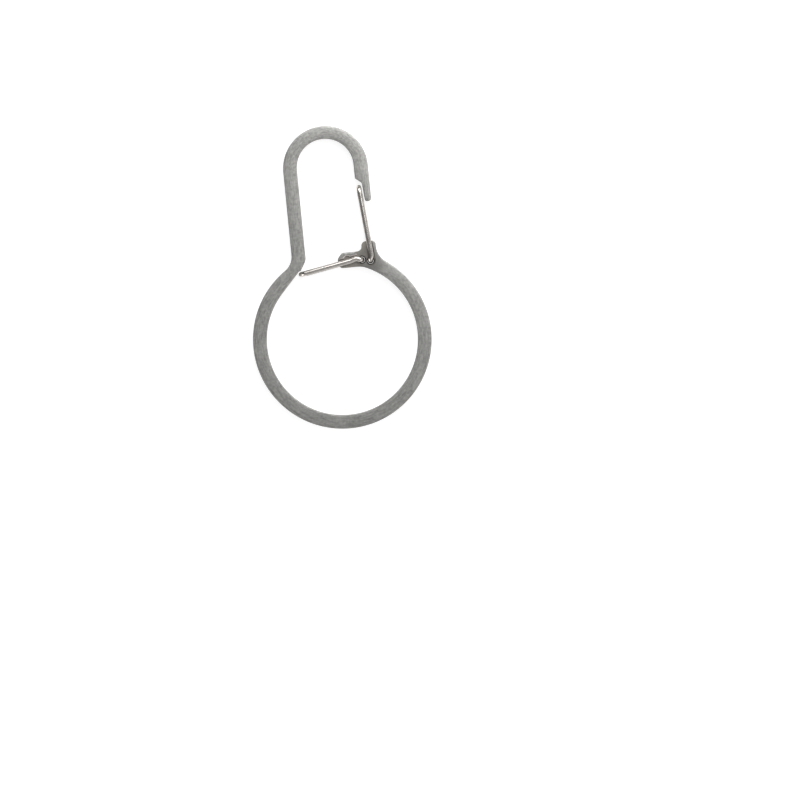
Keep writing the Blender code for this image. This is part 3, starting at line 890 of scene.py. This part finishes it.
def new_material(name):
    """An empty node material and its shader."""
    material = bpy.data.materials.new(name)
    material.use_nodes = True
    return material, Nodes(material.node_tree), material.node_tree.nodes["Principled BSDF"]


def set_inputs(nodes, shader, **inputs):
    """Set or link the shader's sockets by their names."""
    for name, value in inputs.items():
        socket = shader.inputs[name.replace("_", " ")]
        if isinstance(value, bpy.types.NodeSocket):
            nodes.tree.links.new(value, socket)
        else:
            socket.default_value = value


def finish_metal(nodes, shader, colour, roughness, relief, strength, height):
    """Give a metal its colour, roughness and relief."""
    bump = nodes.add("Bump", {"Strength": strength, "Distance": height, "Height": relief})
    set_inputs(nodes, shader, Base_Color=colour, Metallic=1.0)
    set_inputs(nodes, shader, Roughness=roughness, Normal=bump.outputs[0])


def round_grain(nodes, place, centre):
    """Streaks that run round a centre."""
    arm = nodes.vector("MULTIPLY", nodes.vector("SUBTRACT", place, (*centre, 0)), (1, 1, 0))
    radius = nodes.measure("LENGTH", arm)
    unit = nodes.vector("NORMALIZE", arm)
    around = nodes.vector("MULTIPLY", unit, (RING_OUTER_RADIUS * GRAIN_ALONG,) * 3)
    depth = nodes.math("MULTIPLY", nodes.split(place)[2], GRAIN_ACROSS)
    outward = nodes.multiply_add(radius, GRAIN_ACROSS, depth)
    return nodes.noise(nodes.vector("ADD", around, nodes.join(0, 0, outward)), *GRAIN_NOISE)


def straight_grain(nodes, place):
    """Streaks that run along the spine."""
    stretched = nodes.vector("MULTIPLY", place, (GRAIN_ACROSS, GRAIN_ALONG, GRAIN_ACROSS))
    return nodes.noise(stretched, *GRAIN_NOISE)


def bar_grain(nodes, place):
    """Streaks that follow the ring, the spine and the hook."""
    height = nodes.split(place)[1]
    lower = nodes.ramp(height, *WAIST_GRAIN_STEP)
    hook_start, hook_end = (HOOK_CENTRE.y + side * HOOK_GRAIN_HALF_STEP for side in (-1, 1))
    upper = nodes.ramp(height, hook_start, hook_end)
    low = nodes.blend(lower, round_grain(nodes, place, RING_CENTRE), straight_grain(nodes, place))
    return nodes.blend(upper, low, round_grain(nodes, place, HOOK_CENTRE))


def satin_steel():
    """Tumbled sheet steel: fine streaks, soft mottling, dull rims and walls, painted shade on the
    recess floors and in the hole mouths, and darker patches near the clip gate's hinge.
    """
    material, nodes, shader = new_material("satin_steel")
    coordinates = nodes.add("TexCoord", {})
    place = coordinates.outputs["Object"]
    up = nodes.math("ABSOLUTE", nodes.split(coordinates.outputs["Normal"])[2])
    height = nodes.math("ABSOLUTE", nodes.split(place)[2])
    streaks = bar_grain(nodes, place)
    mottle = nodes.noise(place, *MOTTLE_NOISE)
    fine = nodes.noise(place, *FINE_NOISE)
    clouds = nodes.noise(place, *CLOUD_NOISE)

    face = nodes.ramp(up, *FACE_TILT)
    wall = nodes.ramp(up, *WALL_TILT)
    rim = nodes.math("SUBTRACT", 1.0, nodes.math("MAXIMUM", face, wall))
    recess = nodes.math("MULTIPLY", face, nodes.ramp(height, *RECESS_HEIGHT))

    shade = nodes.math("MULTIPLY", streaks, STREAK_SHARE)
    shade = nodes.multiply_add(mottle, MOTTLE_SHARE, shade)
    shade = nodes.multiply_add(clouds, CLOUD_SHARE, shade)
    metal = nodes.tint(nodes.ramp(shade, *SHADE_STEP), STEEL_DARK, STEEL_LIGHT)
    metal = nodes.coat(metal, wall, *WALL_COAT)
    # Painted shade: the recess floors get a warm darker coat, as shade in the recesses
    metal = nodes.coat(metal, recess, *RECESS_PAINTED_SHADE)
    metal = nodes.coat(metal, rim, *RIM_COAT)
    # Darker in patches near the clip gate's hinge
    from_hinge = nodes.measure("DISTANCE", place, (*PIVOTS["clip_gate"], 0))
    patches = nodes.ramp(mottle, *HINGE_DARK_PATCH_STEP, *HINGE_DARK_PATCH_SHARES)
    hinge_darkening = nodes.math("MULTIPLY", nodes.ramp(from_hinge, *HINGE_DARK_REACH), patches)
    metal = nodes.coat(metal, hinge_darkening, *HINGE_DARK_COAT)
    # Painted shade: the sloped mouths of the hinge holes are tinted near black
    mouth = nodes.math("MULTIPLY", rim, nodes.ramp(height, WEB_HALF, WEB_HALF - MOUTH_SHADE_FADE))
    metal = nodes.tint(mouth, metal, MOUTH_SHADE_COLOUR)

    rough = nodes.blend(fine, *FACE_ROUGHNESS)
    rough = nodes.blend(wall, rough, WALL_ROUGHNESS)
    rough = nodes.blend(nodes.math("MULTIPLY", rim, RIM_COAT[0]), rough, RIM_ROUGHNESS)
    finish_metal(nodes, shader, metal, rough, nodes.average(streaks, fine), *STEEL_BUMP)
    return material


def worn_lip():
    """The recess's lip, rubbed by the gate, with a painted highlight in its bright, warm base
    colour.
    """
    material, nodes, shader = new_material("worn_lip")
    place = nodes.add("TexCoord", {}).outputs["Object"]
    patches = nodes.noise(place, *LIP_NOISE)
    # Painted highlight: a near-white warm base colour on the lip, over its rubbed wear
    metal = nodes.tint(nodes.ramp(patches, *LIP_PATCH_STEP), LIP_HIGHLIGHT_DARK, LIP_HIGHLIGHT_LIGHT)
    rough = nodes.ramp(patches, *LIP_PATCH_STEP, *LIP_ROUGHNESS)
    finish_metal(nodes, shader, metal, rough, patches, *LIP_BUMP)
    return material


def polished_wire(name, gate):
    """Drawn round wire, with painted shade on its flanks and, a little, on its legs, so that its
    crowns and its tip stay brighter as a painted highlight.
    """
    material, nodes, shader = new_material(name)
    coordinates = nodes.add("TexCoord", {})
    place = coordinates.outputs["Object"]
    up = nodes.math("ABSOLUTE", nodes.split(coordinates.outputs["Normal"])[2])
    turned = nodes.turned(place, -gate.heading)
    stretched = nodes.vector("MULTIPLY", turned, DRAW_LINES)
    lines = nodes.noise(stretched, *GRAIN_NOISE)
    patches = nodes.noise(place, *WIRE_NOISE)
    tip = gate_tip(gate).dot(direction(gate.heading))
    tip_start, tip_end = (tip - share * LEG_HEIGHT for share in TIP_HIGHLIGHT_SHARES)
    before_tip = nodes.ramp(nodes.split(turned)[0], tip_start, tip_end)
    # Painted shade: the wire's steep flanks are darkened, except at its tip
    flank = nodes.math("MULTIPLY", nodes.ramp(up, *FLANK_TILT), before_tip)
    metal = nodes.tint(nodes.ramp(patches, *WIRE_PATCH_STEP), WIRE_DARK, WIRE_LIGHT)
    # Painted shade on the legs, so that the tip stands out as a painted highlight
    metal = nodes.coat(metal, before_tip, *LEG_PAINTED_SHADE)
    metal = nodes.coat(metal, flank, *FLANK_PAINTED_SHADE)
    rough = nodes.ramp(nodes.average(lines, patches), *UNEVEN_STEP, *WIRE_ROUGHNESS)
    rough = nodes.blend(flank, rough, FLANK_ROUGHNESS)
    finish_metal(nodes, shader, metal, rough, lines, *WIRE_BUMP)
    return material


def make_floor():
    """A pale table that the carabiner lies on, white to the camera and to reflections."""
    bpy.ops.mesh.primitive_plane_add(size=FLOOR_SIZE, location=(0, 0, CAD_BOX[0][2] - FLOOR_DROP))
    floor = bpy.context.object
    floor.name = "table"
    material, nodes, shader = new_material("pale_table")
    path = nodes.add("LightPath", {})
    seen = nodes.math("MAXIMUM", path.outputs["Is Camera Ray"], path.outputs["Is Glossy Ray"])
    seen = nodes.math("MAXIMUM", seen, path.outputs["Is Transmission Ray"])
    glow = nodes.math("MULTIPLY", seen, FLOOR_GLOW)
    set_inputs(nodes, shader, Base_Color=FLOOR_COLOUR, Roughness=FLOOR_ROUGHNESS)
    set_inputs(nodes, shader, Emission_Color=WHITE, Emission_Strength=glow)
    floor.data.materials.append(material)


def make_world():
    """A soft room, a little brighter on one side."""
    world = bpy.data.worlds.new("soft_room")
    world.use_nodes = True
    bpy.context.scene.world = world
    nodes = Nodes(world.node_tree)
    looking = nodes.add("TexCoord", {}).outputs["Generated"]
    bright = direction(WORLD_BRIGHT_DEG - PHOTO_ROLL_DEG)
    facing = nodes.measure("DOT_PRODUCT", looking, (*bright, 0))
    level = nodes.multiply_add(facing, WORLD_TILT, WORLD_LEVEL)
    background = world.node_tree.nodes["Background"]
    nodes.tree.links.new(level, background.inputs["Strength"])
    background.inputs["Color"].default_value = WHITE


def make_light(box):
    """A soft box that faces the middle of the table."""
    light = bpy.data.lights.new(box.name, "AREA")
    light.shape = "RECTANGLE"
    light.size, light.size_y = box.size
    light.energy = box.watts
    lamp = add_object(box.name, light)
    level = direction(box.photo_deg - PHOTO_ROLL_DEG) * math.cos(math.radians(box.height_deg))
    away = Vector((*level, math.sin(math.radians(box.height_deg))))
    lamp.location = away * box.distance
    lamp.rotation_euler = away.to_track_quat("Z", "Y").to_euler()


def make_camera():
    """Straight above the middle of the photo, turned by its roll."""
    data = bpy.data.cameras.new("camera")
    camera = add_object("camera", data)
    middle = Vector((PHOTO_WIDTH_PX / 2, PHOTO_WIDTH_PX / 2)) - ORIGIN_PX
    across = Vector((middle.x, -middle.y)) * MM / PX_PER_MM
    roll = -math.radians(PHOTO_ROLL_DEG)
    place = Matrix.Rotation(roll, 2) @ across
    camera.location = (*place, CAMERA_HEIGHT)
    camera.rotation_euler = (0, 0, roll)
    data.sensor_width = SENSOR_WIDTH_MM
    data.lens = SENSOR_WIDTH_MM * (CAMERA_HEIGHT - PLATE_TOP) / (PHOTO_WIDTH_PX * MM / PX_PER_MM)
    data.clip_start = CAMERA_CLIP_START
    bpy.context.scene.camera = camera


def stand_for(piece, node):
    """Let a remade piece stand for its node, on that node's body."""
    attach(piece, node)
    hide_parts(node)


make_camera()
make_world()
make_floor()
for soft_box in SOFT_BOXES:
    make_light(soft_box)
stand_for(make_plate((satin_steel(), worn_lip())), "frame")
for gate in (clip_gate(), divider_gate()):
    wire = make_gate(gate, polished_wire(gate.name + "_metal", gate))
    stand_for(wire, gate.name)

bpy.context.scene.view_settings.view_transform = "Standard"
